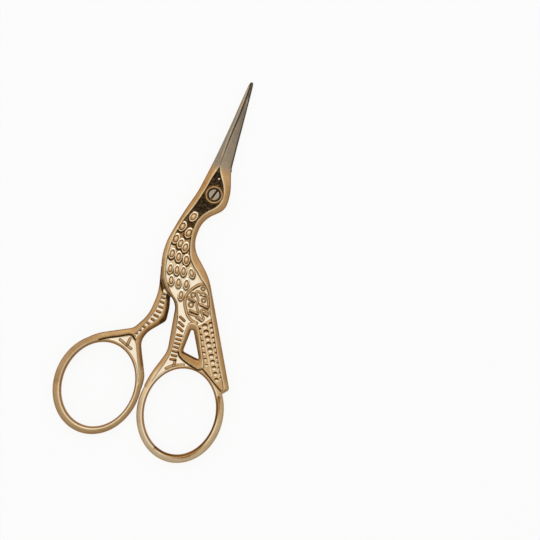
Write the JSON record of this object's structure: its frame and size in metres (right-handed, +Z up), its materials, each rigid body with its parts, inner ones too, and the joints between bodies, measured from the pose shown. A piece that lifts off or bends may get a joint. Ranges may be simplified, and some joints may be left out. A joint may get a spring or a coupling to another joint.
{
  "type": "embroidery scissors",
  "caption": "Small stork-shaped embroidery scissors with slender pointed blades, a slotted pivot screw, a feathered body and oval finger rings.",
  "frame": {"origin": "on the pivot axis, in the plane that the pair lies on", "axes": "+Y along the closed blades to their tips, +X from the bird's breast to its tail, +Z up out of the slotted face of the pivot screw"},
  "size_m": [0.0518, 0.1151, 0.0036],
  "materials": {
    "gold_plated_steel": "polished champagne-gold plating on steel, worn matt in the engraving, with bare brushed blades",
    "gold_plated_screw": "polished, turned"
  },
  "bodies": {
    "front": {"front_half": "gold_plated_steel"},
    "back": {"back_half": "gold_plated_steel", "pivot_screw": "gold_plated_screw"}
  },
  "joints": [
    {"name": "pivot", "type": "hinge", "parent": "front", "child": "back", "pos_m": [0, 0, 0.0018], "axis": [0, 0, -1], "range_deg": [0, 60]}
  ]
}
